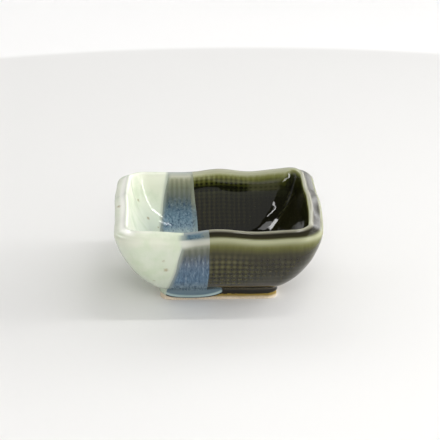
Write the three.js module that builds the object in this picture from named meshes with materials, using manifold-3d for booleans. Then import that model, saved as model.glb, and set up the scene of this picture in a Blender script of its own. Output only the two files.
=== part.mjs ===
// Square stoneware sauce dish: a clay bowl on a low square foot, under three glaze coats.
// Millimetres, +Z up, origin at the middle of the plane that the foot stands on.
// +X is the green side, -X the pale side, and -Y the front.

import * as THREE from "three";
import * as BufferGeometryUtils from "three/addons/utils/BufferGeometryUtils.js";
import Module from "manifold-3d";

// Lip
const lipHalfWidth = 39.5; // clay, at the outer edge of the lip, mean of its wave
const lipCornerRadius = 10;
const lipHeight = 30.85; // outer edge of the lip
const lipRise = 1.9; // the inner edge of the lip stands this much higher
const lipWidth = 4.5; // across the lip, level
const lipRounding = 0.5; // both edges of the lip

// Wall, floor and foot
const wallThickness = 4;
const floorThickness = 4.2;
const footHeight = 5.1;
const footHalfWidth = 22.3; // outer face of the foot
const footCornerRadius = 4;
const footSpread = 0.3; // the foot is this much wider on each side where it stands
const footWallThickness = 4;
const wellTopCornerRadius = 6.6;
const wellFloorCornerRadius = 5.6;
const wallFullness = 1.47; // higher keeps the wall upright further down
const wallTurn = 0.72; // lower turns it in under the bowl more sharply

// Glaze
const glazeThickness = 0.5;
const glazeSeam = 0.3; // bare line between two coats
const glazeEndHeight = 2.2; // the glaze stops this far above the standing plane
const beadThickness = 0.9; // extra glaze pooled at the foot, at its thickest
const beadCentre = -10.5; // along X, on the front side
const beadHalfLength = 11;
const beadStart = -0.5; // the roll starts above the top of the foot, as a share of its height
const leastCornerRadius = 0.4; // of the glaze in the middle of the well

// The two edges of the dips are planes, X = atOrigin + perY * Y + perZ * Z
const paleDip = { atOrigin: -23, perY: -0.076, perZ: 0.206 };
const greenDip = { atOrigin: -6.2, perY: -0.057, perZ: 0 };

// Unevenness of the hand-shaped lip: crests around the lip, size and where the first crest stands
const lipWaves = [
  { crests: 8, rise: 0.48, spread: 0, first: 0.03 },
  { crests: 12, rise: 0.2, spread: 0, first: -0.06 },
  { crests: 4, rise: 0.26, spread: 0.42, first: 0.04 },
  { crests: 2, rise: 0.24, spread: 0.4, first: 0.08 },
  { crests: 6, rise: 0, spread: 0.3, first: 0.69 },
];
const waveDepth = 2; // how fast the wave fades down the wall

// Places where the soft lip was pressed: share of the way round, reach to each side, change
const lipPresses = [
  { at: 0.285, reach: 0.14, rise: -0.5, spread: 0 },
  { at: 0.274, reach: 0.032, rise: -0.65, spread: 0 },
  { at: 0.127, reach: 0.014, rise: 0.55, spread: 0 },
  { at: 0.52, reach: 0.09, rise: 0, spread: -0.5 },
];

// Facets
const stepsPerStretch = 6; // each quarter of an outline is straight, corner, straight
const stretchesPerQuarter = 3;
const stepsPerQuarter = stepsPerStretch * stretchesPerQuarter;
const stepsAround = 4 * stepsPerQuarter;
const wallRings = 9;
const floorRings = 2;
const slopeStep = 0.01; // the slope of the wall is taken over this much depth to each side
const halfDepth = 0.5; // where the wall is as thick as wallThickness
const wellEdgeDepth = 0.985; // where the wall of the well meets its floor

const lerp = (from, to, share) => from + (to - from) * share;
const smooth = (share) => share * share * (3 - 2 * share);

// One point of a rounded square, with the share of the way round that it lies at
function outlinePoint(step, halfWidth, cornerRadius) {
  const quarter = Math.floor(step / stepsPerQuarter);
  const place = (step % stepsPerQuarter) / stepsPerStretch;
  const straight = halfWidth - cornerRadius;
  const cornerLength = (Math.PI / 2) * cornerRadius;
  let x = halfWidth;
  let y = straight * place;
  let length = y;
  if (place > 1) {
    const share = Math.min(place - 1, 1);
    x = straight + cornerRadius * Math.cos((share * Math.PI) / 2);
    y = straight + cornerRadius * Math.sin((share * Math.PI) / 2);
    length = straight + share * cornerLength;
  }
  if (place > 2) {
    x = straight * (3 - place);
    y = halfWidth;
    length = straight * (place - 1) + cornerLength;
  }
  const turn = (quarter * Math.PI) / 2;
  return {
    x: x * Math.cos(turn) - y * Math.sin(turn),
    y: x * Math.sin(turn) + y * Math.cos(turn),
    share: (quarter + length / (2 * straight + cornerLength)) / 4,
  };
}

// How far the lip stands up and out at a share of the way round
function lipWave(share) {
  let rise = 0;
  let spread = 0;
  for (const wave of lipWaves) {
    const swing = Math.cos(wave.crests * 2 * Math.PI * share - 2 * Math.PI * wave.first);
    rise += wave.rise * swing;
    spread += wave.spread * swing;
  }
  for (const press of lipPresses) {
    const pressed = Math.exp(-(((share - press.at) / press.reach) ** 2));
    rise += press.rise * pressed;
    spread += press.spread * pressed;
  }
  return { rise, spread };
}

// A ring is one level outline of the dish; wave is its share of the lip's unevenness
function ringPoint(ring, step) {
  const point = outlinePoint(step, ring.halfWidth, ring.cornerRadius);
  const wave = lipWave(point.share);
  const out = 1 + (wave.spread * ring.wave) / ring.halfWidth;
  return [point.x * out, point.y * out, ring.height + wave.rise * ring.wave];
}

// Outer face of the wall, from the lip at depth 0 to the foot at depth 1
function outerWall(depth) {
  const reach = (1 - depth ** wallFullness) ** wallTurn;
  return {
    halfWidth: lerp(footHalfWidth, lipHalfWidth, reach),
    cornerRadius: lerp(footCornerRadius, lipCornerRadius, reach),
    height: lerp(lipHeight, footHeight, depth),
    wave: (1 - depth) ** waveDepth,
  };
}

// Inner face of the wall, set in from the outer face by the thickness there
function innerWall(depth) {
  const outer = outerWall(depth);
  const above = outerWall(Math.max(depth - slopeStep, 0));
  const below = outerWall(Math.min(depth + slopeStep, 1));
  const slope = Math.atan2(above.halfWidth - below.halfWidth, above.height - below.height);
  const thickness =
    depth < halfDepth
      ? lerp(lipWidth, wallThickness, smooth(depth / halfDepth))
      : lerp(wallThickness, floorThickness, smooth((depth - halfDepth) / (1 - halfDepth)));
  return {
    halfWidth: outer.halfWidth - thickness * Math.cos(slope),
    cornerRadius: lerp(wellTopCornerRadius, wellFloorCornerRadius, depth),
    height: outer.height + thickness * Math.sin(slope) + lipRise * (1 - depth) ** 2,
    wave: outer.wave,
  };
}

// The glazed faces of the clay, from the middle of the well over the lip and down to the foot
function glazedRings() {
  const rings = [];
  const wellEdge = innerWall(wellEdgeDepth);
  wellEdge.height = footHeight + floorThickness;
  for (let i = 1; i <= floorRings; i++) {
    const share = i / (floorRings + 1);
    rings.push({
      halfWidth: wellEdge.halfWidth * share,
      cornerRadius: wellEdge.cornerRadius * share,
      height: wellEdge.height,
      wave: 0,
    });
  }
  rings.push(wellEdge);
  for (let i = wallRings - 1; i >= 1; i--) {
    rings.push(innerWall((wellEdgeDepth * i) / wallRings));
  }
  const innerEdge = innerWall(0);
  const outerEdge = outerWall(0);
  const bevel = Math.atan2(lipRise, lipWidth);
  rings.push({ ...innerEdge, height: innerEdge.height - lipRounding });
  rings.push({
    ...innerEdge,
    halfWidth: innerEdge.halfWidth + lipRounding,
    cornerRadius: innerEdge.cornerRadius + lipRounding,
    height: innerEdge.height,
  });
  rings.push({
    ...outerEdge,
    halfWidth: outerEdge.halfWidth - lipRounding,
    cornerRadius: outerEdge.cornerRadius - lipRounding,
    height: outerEdge.height + lipRounding * Math.tan(bevel),
  });
  rings.push({ ...outerEdge, height: outerEdge.height - lipRounding });
  for (let i = 1; i < wallRings; i++) {
    rings.push(outerWall(i / wallRings));
  }
  rings.push(outerWall(1), footRing(glazeEndHeight));
  return rings;
}

function footRing(height) {
  const spread = footSpread * (1 - height / footHeight);
  return {
    halfWidth: footHalfWidth + spread,
    cornerRadius: footCornerRadius + spread,
    height,
    wave: 0,
  };
}

// Extra glaze that ran down the front and pooled at the foot
function bead(ring, step) {
  const [x, y] = ringPoint(ring, step);
  const along = Math.abs(x - beadCentre) / beadHalfLength;
  const drop = (footHeight - ring.height) / footHeight;
  if (y > -footHalfWidth + footCornerRadius || along > 1 || drop < beadStart) return 0;
  const fall = drop < 0 ? smooth(1 - drop / beadStart) : 1 - drop;
  return beadThickness * (1 - along ** 2) * fall;
}

// The surface of the glaze over each ring of clay
function glazeSurface(rings) {
  return rings.map((ring, i) => {
    const before = rings[Math.max(i - 1, 0)];
    const after = rings[Math.min(i + 1, rings.length - 1)];
    const run = after.halfWidth - before.halfWidth;
    const fall = after.height - before.height;
    const size = Math.hypot(run, fall);
    return Array.from({ length: stepsAround }, (_, step) => {
      const thickness = glazeThickness + bead(ring, step);
      const out = (-fall / size) * thickness;
      const set = {
        halfWidth: ring.halfWidth + out,
        cornerRadius: Math.max(ring.cornerRadius + out, leastCornerRadius),
        height: ring.height + (run / size) * thickness,
        wave: ring.wave,
      };
      return ringPoint(set, step);
    });
  });
}

function clayPoints(rings) {
  return rings.map((ring) =>
    Array.from({ length: stepsAround }, (_, step) => ringPoint(ring, step)),
  );
}

// Faces between two rows of points, each a full turn; inward turns them over
function joinRows(index, from, to, inward = false) {
  for (let j = 0; j < stepsAround; j++) {
    const k = (j + 1) % stepsAround;
    const faces = [from + j, to + j, from + k, from + k, to + j, to + k];
    index.push(...(inward ? faces.reverse() : faces));
  }
}

// Faces from the middle point of a face to the row around it
function fillRow(index, middle, row, inward = false) {
  for (let j = 0; j < stepsAround; j++) {
    const face = [middle, row + j, row + ((j + 1) % stepsAround)];
    index.push(...(inward ? face.reverse() : face));
  }
}

function geometryOf(points, index) {
  const geometry = new THREE.BufferGeometry();
  geometry.setAttribute("position", new THREE.Float32BufferAttribute(points.flat(), 3));
  geometry.setIndex(index);
  return geometry;
}

// A body that starts and ends at a middle point
function cappedBody(rows, startMiddle, endMiddle) {
  const index = [];
  const points = rows.flat();
  const last = points.length - stepsAround;
  fillRow(index, points.push(startMiddle) - 1, 0);
  for (let row = 0; row < last; row += stepsAround) joinRows(index, row, row + stepsAround);
  fillRow(index, points.push(endMiddle) - 1, last, true);
  return geometryOf(points, index);
}

// A body that closes on itself, such as a square ring
function loopBody(rows) {
  const index = [];
  const points = rows.flat();
  for (let row = 0; row < points.length; row += stepsAround) {
    joinRows(index, row, (row + stepsAround) % points.length);
  }
  return geometryOf(points, index);
}

// A thin bowl between an outer and an inner surface that have the same rows
function skinBody(outerRows, innerRows, outerMiddle, innerMiddle) {
  const index = [];
  const points = [...outerRows.flat(), ...innerRows.flat()];
  const inner = points.length / 2;
  const last = inner - stepsAround;
  fillRow(index, points.push(outerMiddle) - 1, 0);
  fillRow(index, points.push(innerMiddle) - 1, inner, true);
  for (let row = 0; row < last; row += stepsAround) {
    joinRows(index, row, row + stepsAround);
    joinRows(index, inner + row, inner + row + stepsAround, true);
  }
  joinRows(index, last, inner + last);
  return geometryOf(points, index);
}

const wasm = await Module();
wasm.setup();

function solidFrom(geometry) {
  const merged = geometry.clone();
  merged.deleteAttribute("normal");
  merged.deleteAttribute("uv");
  const joined = BufferGeometryUtils.mergeVertices(merged, 1e-4);
  const mesh = new wasm.Mesh({
    numProp: 3,
    vertProperties: new Float32Array(joined.getAttribute("position").array),
    triVerts: new Uint32Array(joined.getIndex().array),
  });
  return new wasm.Manifold(mesh);
}

function geometryFrom(solid) {
  const mesh = solid.getMesh();
  const geometry = new THREE.BufferGeometry();
  geometry.setAttribute("position", new THREE.BufferAttribute(mesh.vertProperties, 3));
  geometry.setIndex(new THREE.BufferAttribute(mesh.triVerts, 1));
  return geometry;
}

// Everything on the green side of a dip edge, moved over by shift
function greenSideOf(dip, shift) {
  const reach = 4 * lipHalfWidth;
  const normal = new THREE.Vector3(1, -dip.perY, -dip.perZ).normalize();
  const block = new THREE.BoxGeometry(reach, reach, reach);
  const turn = new THREE.Quaternion().setFromUnitVectors(new THREE.Vector3(1, 0, 0), normal);
  block.applyQuaternion(turn);
  const middle = normal.clone().multiplyScalar(reach / 2);
  block.translate(middle.x + dip.atOrigin + shift, middle.y, middle.z);
  return solidFrom(block);
}

const dish = new THREE.Group();

function addPiece(name, geometry, colour, roughness) {
  const material = new THREE.MeshStandardMaterial({ color: colour, roughness, metalness: 0 });
  geometry.computeVertexNormals();
  const mesh = new THREE.Mesh(geometry, material);
  mesh.name = name;
  dish.add(mesh);
}

// Clay bowl: the glazed faces and a flat underside
const rings = glazedRings();
const bowlRings = rings.slice(0, -1);
const floorMiddle = [0, 0, footHeight + floorThickness];
const undersideMiddle = [0, 0, footHeight];
addPiece("clay_bowl", cappedBody(clayPoints(bowlRings), floorMiddle, undersideMiddle), 0xb5aa96, 0.85);

// Foot ring, luted to the underside
const footInner = footHalfWidth - footWallThickness;
const footInnerTop = { halfWidth: footInner, cornerRadius: footCornerRadius, height: footHeight, wave: 0 };
const footRings = [
  footInnerTop,
  footRing(footHeight),
  footRing(glazeEndHeight),
  footRing(0),
  { ...footInnerTop, height: 0 },
];
addPiece("foot_ring", loopBody(clayPoints(footRings)), 0xb5aa96, 0.9);

// The glaze as one skin, then cut along the edges of the dips
const glazeMiddle = [0, 0, footHeight + floorThickness + glazeThickness];
const skin = solidFrom(skinBody(glazeSurface(rings), clayPoints(rings), glazeMiddle, floorMiddle));
const halfSeam = glazeSeam / 2;
const pale = skin.subtract(greenSideOf(paleDip, -halfSeam));
const green = skin.intersect(greenSideOf(greenDip, halfSeam));
const blue = skin
  .intersect(greenSideOf(paleDip, halfSeam))
  .subtract(greenSideOf(greenDip, -halfSeam));
addPiece("pale_glaze", geometryFrom(pale), 0xd7dcc8, 0.25);
addPiece("blue_glaze", geometryFrom(blue), 0x61707b, 0.25);
addPiece("green_glaze", geometryFrom(green), 0x474536, 0.22);

export default dish;
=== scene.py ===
import math

import bmesh
import bpy
import numpy as np
from mathutils import Matrix, Vector


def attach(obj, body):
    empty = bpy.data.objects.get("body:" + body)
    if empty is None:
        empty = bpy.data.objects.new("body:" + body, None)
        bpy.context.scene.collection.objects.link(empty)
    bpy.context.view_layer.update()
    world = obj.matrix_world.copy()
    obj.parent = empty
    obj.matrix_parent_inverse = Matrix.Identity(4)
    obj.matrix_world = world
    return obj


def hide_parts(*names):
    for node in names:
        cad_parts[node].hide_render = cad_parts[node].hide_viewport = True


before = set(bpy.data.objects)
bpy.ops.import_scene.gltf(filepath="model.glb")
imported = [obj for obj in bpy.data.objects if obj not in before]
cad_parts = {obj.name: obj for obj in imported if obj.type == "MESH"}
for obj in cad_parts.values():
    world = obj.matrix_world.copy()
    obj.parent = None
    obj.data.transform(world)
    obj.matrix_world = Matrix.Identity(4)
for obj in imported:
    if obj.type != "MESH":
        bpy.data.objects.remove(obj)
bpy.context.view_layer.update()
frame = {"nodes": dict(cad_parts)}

mm = 0.001
print("frame loaded:", ", ".join(frame["nodes"]))

# Sizes of the dish in millimetres, the same as in the construction model
dish = {
    "lipHalfWidth": 39.5,
    "lipCornerRadius": 10.0,
    "lipHeight": 30.85,
    "lipRise": 1.9,
    "lipWidth": 4.5,
    "lipRounding": 0.8,
    "lipInnerRounding": 0.45,
    "lipHollow": 0.3,           # the lip is slightly hollow between its two edges
    "wallThickness": 4.0,
    "floorThickness": 4.2,
    "footHeight": 5.1,
    "footHalfWidth": 22.3,
    "footCornerRadius": 4.0,
    "footSpread": 0.3,
    "footWallThickness": 4.0,
    "wellTopCornerRadius": 6.6,
    "wellFloorCornerRadius": 9.5,
    "wellEdgeDepth": 0.985,     # where the wall of the well meets its floor, as a share of the wall
    "leastCornerRadius": 0.3,
    "wallFullness": 1.47,
    "wallTurn": 0.72,
    "waveDepth": 2.0,
    "glazeThickness": 0.5,
    "glazeEndHeight": 2.2,
    "glazeEndTaper": 0.8,
}

# Crests of the hand-shaped lip: how many, how high, how far out, where the first one stands
lipWaves = [
    (8, 0.48, 0.0, 0.03),
    (12, 0.20, 0.0, -0.06),
    (4, 0.26, 0.42, 0.04),
    (2, 0.24, 0.40, 0.08),
    (6, 0.0, 0.30, 0.69),
]

# Places where the soft lip was pressed: share of the way round, reach, how high, how far out
lipPresses = [
    (0.285, 0.14, -0.5, 0.0),
    (0.274, 0.032, -0.65, 0.0),
    (0.127, 0.014, 0.55, 0.0),
    (0.52, 0.09, 0.0, -0.5),
]

# The edges of the two dips: x = atOrigin + perY * y + perZ * z. The hand wavered a little,
# and inside the well the edge leans another way, by lean for every millimetre above leanLevel.
paleDip = {"atOrigin": -23.0, "perY": -0.076, "perZ": 0.206, "waver": 0.28, "lean": 0.0}
greenDip = {"atOrigin": -6.2, "perY": -0.057, "perZ": 0.0, "waver": 0.14, "lean": -0.07}
leanLevel = 21

# Cloth pressed into the clay: spacing of its threads, how narrow they are, depth of the print
clothInside = {"across": 2.03, "along": 1.62, "start": (0.1, 0.06), "sharpness": 1.1, "depth": 0.014}
clothOutside = {"across": 2.27, "along": 2.78, "start": (-1.35, 0.76), "sharpness": 0.95, "depth": 0.04}

# Depth of the unevenness, shares of the print in each glaze, and where they show, as (from, to) in
# millimetres from the lip's inner edge, from a dip's edge or above the table
relief = {
    "insideTop": (-1.0, -2.5), "insideEnd": (-28.0, -24.0),
    "outsideTop": (3.0, 7.0),   # from the lip's outer edge
    "outsideEnd": (31.0, 28.0),
    "dipFade": (-0.5, 1.0), "atPale": 0.02, "atBlue": 0.3, "atGreen": 0.68,
    "uneven": 0.04, "unevenAbove": (4.0, 8.0),
}

# The glaze that ran down the front and gathered in a roll on the foot
bead = {
    "centre": -10.5, "halfLength": 11.0, "thickness": 0.9, "drop": 1.15,
    "notch": 1.2, "notchRise": 0.12, "notchWidth": 2.5,
    "behindFace": 1.5, "aboveFoot": 0.4, "fullness": 2.6, "tipTaper": 0.6, "sway": 0.2,
}

meshSteps = {
    "straight": 64, "corner": 40, "ring": 0.42, "backRing": 2.2, "filletReach": 1.4, "filletPasses": 10,
    "wall": 40, "floor": 24, "lipEdge": 6, "lipFace": 5, "foot": 8, "slope": 0.01,
}


def lerp(a, b, share):
    return a + (b - a) * share


def smooth(share):
    return share * share * (3 - 2 * share)


def step(values, low, high):
    return smooth(np.clip((values - low) / (high - low), 0, 1))


# Shape of the dish. A ring is half width, corner radius, height and share of the lip's wave.

def outerWall(depth):
    reach = (1 - depth ** dish["wallFullness"]) ** dish["wallTurn"]
    return [
        lerp(dish["footHalfWidth"], dish["lipHalfWidth"], reach),
        lerp(dish["footCornerRadius"], dish["lipCornerRadius"], reach),
        lerp(dish["lipHeight"], dish["footHeight"], depth),
        (1 - depth) ** dish["waveDepth"],
    ]


def innerWall(depth):
    outer = outerWall(depth)
    above = outerWall(max(depth - meshSteps["slope"], 0))
    below = outerWall(min(depth + meshSteps["slope"], 1))
    slope = math.atan2(above[0] - below[0], above[2] - below[2])
    if depth < 0.5:
        thickness = lerp(dish["lipWidth"], dish["wallThickness"], smooth(2 * depth))
    else:
        thickness = lerp(dish["wallThickness"], dish["floorThickness"], smooth(2 * depth - 1))
    return [
        outer[0] - thickness * math.cos(slope),
        lerp(dish["wellTopCornerRadius"], dish["wellFloorCornerRadius"], depth),
        outer[2] + thickness * math.sin(slope) + dish["lipRise"] * (1 - depth) ** 2,
        outer[3],
    ]


def footRing(height):
    spread = dish["footSpread"] * (1 - height / dish["footHeight"])
    return [dish["footHalfWidth"] + spread, dish["footCornerRadius"] + spread, height, 0.0]


# Clay under the glaze, from the middle of the well over the lip and down the foot
def glazedProfile():
    wallSteps = meshSteps["wall"]
    floorHeight = dish["footHeight"] + dish["floorThickness"]
    wellEdge = innerWall(dish["wellEdgeDepth"])
    shares = np.linspace(0.02, 0.96, meshSteps["floor"])
    rings = [[wellEdge[0] * s, wellEdge[1] * s, floorHeight, 0.0] for s in shares]
    rings += [innerWall(dish["wellEdgeDepth"] * i / wallSteps) for i in range(wallSteps, 0, -1)]
    inner, outer = innerWall(0), outerWall(0)
    rounding = dish["lipInnerRounding"]
    for angle in np.linspace(0, 90, meshSteps["lipEdge"]):
        turn = math.radians(angle)
        shift = rounding * (1 - math.cos(turn))
        rings.append([inner[0] + shift, inner[1] + shift, inner[2] - rounding * (1 - math.sin(turn)), 1.0])
    for share in np.linspace(0.2, 0.8, meshSteps["lipFace"]):
        rings.append([
            lerp(inner[0], outer[0], share),
            lerp(inner[1], outer[1], share),
            lerp(inner[2], outer[2], share) - dish["lipHollow"] * math.sin(math.pi * share),
            1.0,
        ])
    rounding = dish["lipRounding"]
    lipDrop = dish["lipRise"] / dish["lipWidth"]
    for angle in np.linspace(0, 90, meshSteps["lipEdge"]):
        turn = math.radians(angle)
        shift = rounding * (1 - math.sin(turn))
        fall = rounding * (1 - math.cos(turn)) - rounding * lipDrop * (1 - math.sin(turn))
        rings.append([outer[0] - shift, outer[1] - shift, outer[2] - fall, 1.0])
    rings += [outerWall(i / wallSteps) for i in range(2, wallSteps + 1)]
    footTop = dish["footHeight"] - 0.4
    rings += [footRing(h) for h in np.linspace(footTop, dish["glazeEndHeight"], meshSteps["foot"])]
    return np.array(rings)


# Even spacing along the profile, with the distance of each ring from the start
def resample(rings, spacing, passes=0):
    length = np.concatenate([[0], np.cumsum(np.hypot(np.diff(rings[:, 0]), np.diff(rings[:, 2])))])
    at = np.linspace(0, length[-1], int(length[-1] / spacing) + 1)
    even = np.column_stack([np.interp(at, length, rings[:, k]) for k in range(4)])
    for _ in range(passes):
        even[1:-1] = (even[:-2] + 2 * even[1:-1] + even[2:]) / 4
    return even, at


# Glaze fills the hollow where the wall meets the foot
def fillHollow(rings, spacing):
    outside = np.arange(len(rings)) > np.argmax(rings[:, 2])
    fromCrease = np.abs(rings[:, 2] - dish["footHeight"]) + np.abs(rings[:, 0] - dish["footHalfWidth"])
    crease = np.argmin(np.where(outside, fromCrease, np.inf))
    reach = int(meshSteps["filletReach"] / spacing)
    for _ in range(meshSteps["filletPasses"]):
        part = rings[crease - reach:crease + reach + 1].copy()
        rings[crease - reach + 1:crease + reach] = (part[:-2] + 2 * part[1:-1] + part[2:]) / 4
    return rings


def thickened(rings, thickness):
    run, fall = np.gradient(rings[:, 0]), np.gradient(rings[:, 2])
    size = np.hypot(run, fall)
    out = -fall / size * thickness
    moved = rings.copy()
    moved[:, 0] += out
    moved[:, 1] = np.maximum(moved[:, 1] + out, dish["leastCornerRadius"])
    moved[:, 2] += run / size * thickness
    return moved


# Where the steps of one quarter lie: 0 to 1 straight, 1 to 2 round the corner, 2 to 3 straight
def quarterPlaces(straightSteps, cornerSteps):
    return np.concatenate([
        np.arange(straightSteps) / straightSteps,
        1 + np.arange(cornerSteps) / cornerSteps,
        2 + np.arange(straightSteps) / straightSteps,
    ])


# Points of every ring, as an array of rings by steps by x, y, z, all in millimetres
def ringPoints(rings, places):
    half, corner = rings[:, 0, None], rings[:, 1, None]
    straight = half - corner
    cornerLength = corner * math.pi / 2
    turn = np.clip(places - 1, 0, 1) * math.pi / 2
    first, last = places <= 1, places >= 2
    x = np.where(first, half, np.where(last, straight * (3 - places), straight + corner * np.cos(turn)))
    y = np.where(first, straight * places, np.where(last, half, straight + corner * np.sin(turn)))
    length = straight * np.minimum(places, 1) + cornerLength * np.clip(places - 1, 0, 1)
    length = length + straight * np.clip(places - 2, 0, 1)
    share = length / (2 * straight + cornerLength)
    quarters = []
    for quarter in range(4):
        c, s = [(1, 0), (0, 1), (-1, 0), (0, -1)][quarter]
        angle = 2 * math.pi * (quarter + share) / 4
        rise = sum(w[1] * np.cos(w[0] * angle - 2 * math.pi * w[3]) for w in lipWaves)
        spread = sum(w[2] * np.cos(w[0] * angle - 2 * math.pi * w[3]) for w in lipWaves)
        for at, reach, up, outwards in lipPresses:
            pressed = np.exp(-(((quarter + share) / 4 - at) / reach) ** 2)
            rise = rise + up * pressed
            spread = spread + outwards * pressed
        out = 1 + spread * rings[:, 3, None] / half
        z = rings[:, 2, None] + rise * rings[:, 3, None]
        quarters.append(np.stack([(x * c - y * s) * out, (x * s + y * c) * out, z], axis=2))
    return np.concatenate(quarters, axis=1)


# Distance along the side from its middle, which stays true round the corner
def alongSide(rings, places):
    straight = (rings[:, 0] - rings[:, 1])[:, None]
    cornerLength = rings[:, 1, None] * math.pi / 2
    before = straight * np.minimum(places, 1) + cornerLength * np.clip(places - 1, 0, 1)
    after = -(straight * np.minimum(3 - places, 1) + cornerLength * np.clip(2 - places, 0, 1))
    return before, after


def surfaceNormals(points):
    across = np.roll(points, -1, axis=1) - np.roll(points, 1, axis=1)
    along = np.gradient(points, axis=0)
    normals = np.cross(along, across)
    return normals / np.maximum(np.linalg.norm(normals, axis=2, keepdims=True), 1e-9)


def dipDistance(points, dip):
    return points[..., 0] - dip["atOrigin"] - dip["perY"] * points[..., 1] - dip["perZ"] * points[..., 2]


# Print of the threads: 1 where two of them cross, 0 in the pits between them
def clothHeight(across, along, cloth):
    upright = 0.5 + 0.5 * np.cos(2 * math.pi * (across - cloth["start"][0]) / cloth["across"])
    level = 0.5 + 0.5 * np.cos(2 * math.pi * (along - cloth["start"][1]) / cloth["along"])
    return (upright ** cloth["sharpness"] + level ** cloth["sharpness"]) / 2


# Mesh building

def meshObject(name, points, faces, uvs=None):
    mesh = bpy.data.meshes.new(name)
    mesh.from_pydata(np.asarray(points).tolist(), [], faces)
    if uvs is not None:
        layer = mesh.uv_layers.new(name="cloth")
        layer.uv.foreach_set("vector", np.asarray(uvs, dtype=np.float32).ravel())
    mesh.polygons.foreach_set("use_smooth", [True] * len(mesh.polygons))
    mesh.update()
    piece = bpy.data.objects.new(name, mesh)
    bpy.context.scene.collection.objects.link(piece)
    return piece


def gridFaces(rows, columns, start=0, inward=False):
    i, j = np.meshgrid(np.arange(rows - 1), np.arange(columns), indexing="ij")
    k = (j + 1) % columns
    corners = [i * columns + j, (i + 1) * columns + j, (i + 1) * columns + k, i * columns + k]
    if inward:
        corners.reverse()
    return (np.stack(corners, axis=2).reshape(-1, 4) + start).tolist()


# Adds the roll of glaze on the front of the foot, with its lower end, to the skin's points
def layRoll(points, normals):
    front = points[..., 1] < -dish["footHalfWidth"] + bead["behindFace"]
    along = np.clip(1 - ((points[..., 0] - bead["centre"]) / bead["halfLength"]) ** 2, 0, 1) * front
    beside = np.exp(-((points[..., 0] - bead["notch"]) / bead["notchWidth"]) ** 2) * front
    start = dish["footHeight"] + bead["aboveFoot"]
    onFoot = np.clip((start - points[..., 2]) / (start - dish["glazeEndHeight"]), 0, 1)
    onFoot = onFoot * (np.arange(len(points)) > len(points) / 2)[:, None]
    roll = bead["fullness"] * onFoot ** 2 * np.sqrt(1 - onFoot ** 2)
    points += normals * (bead["thickness"] * np.sqrt(along) * roll)[..., None]
    points[..., 2] += (bead["notchRise"] * beside - bead["drop"] * along ** bead["tipTaper"]) * onFoot
    sway = np.sin(0.33 * points[..., 0] + 0.4) * np.cos(0.27 * points[..., 1])
    points[..., 2] += bead["sway"] * sway * onFoot * (along < 0.01)


# How far the print of the cloth and the unevenness of a hand-made wall lift each point
def reliefHeight(points, side, distance):
    lipLength = math.hypot(dish["lipWidth"], dish["lipRise"])
    inside = clothHeight(side, distance, clothInside) * clothInside["depth"]
    inside *= step(distance, *relief["insideTop"]) * step(distance, *relief["insideEnd"])
    outside = clothHeight(side, distance, clothOutside) * clothOutside["depth"]
    outside *= step(distance - lipLength, *relief["outsideTop"]) * step(distance, *relief["outsideEnd"])
    showing = relief["atPale"] + relief["atBlue"] * step(dipDistance(points, paleDip), *relief["dipFade"])
    showing += relief["atGreen"] * step(dipDistance(points, greenDip), *relief["dipFade"])
    x, y, z = points[..., 0], points[..., 1], points[..., 2]
    uneven = np.sin(0.31 * x + 0.23 * y + 0.4) * np.sin(0.27 * y - 0.37 * z)
    uneven += 0.6 * np.sin(0.53 * z + 0.41 * x - 0.3 * y)
    return (inside + outside) * showing + relief["uneven"] * uneven * step(z, *relief["unevenAbove"])


# Cloth map in millimetres: along the side, and from the inner edge of the lip
def clothMap(corners, places, before, after, fromLip):
    uvs = np.zeros((corners, 2))
    stepsIn = len(places)
    columns = 4 * stepsIn
    j = np.arange(columns)
    nextPlace = (j + 1) % stepsIn
    useBefore = places[j % stepsIn] < 1.5
    here = np.where(useBefore, before[:, j % stepsIn], after[:, j % stepsIn])
    there = np.where(useBefore, before[:, nextPlace], after[:, nextPlace])
    there[:, nextPlace == 0] = 0
    v = fromLip[:, None] * np.ones(columns)
    quads = np.stack([
        np.stack([here[:-1], v[:-1]], axis=2), np.stack([here[1:], v[1:]], axis=2),
        np.stack([there[1:], v[1:]], axis=2), np.stack([there[:-1], v[:-1]], axis=2),
    ], axis=2).reshape(-1, 2)
    uvs[:len(quads)] = quads
    uvs[len(quads):, 1] = fromLip[0]
    perColumn = 10              # corners of the face at the glaze's end and of two at the middles
    ends = uvs[-perColumn * columns:].reshape(columns, perColumn, 2)
    ends[:, :4, 1] = fromLip[-1]
    return uvs


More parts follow.
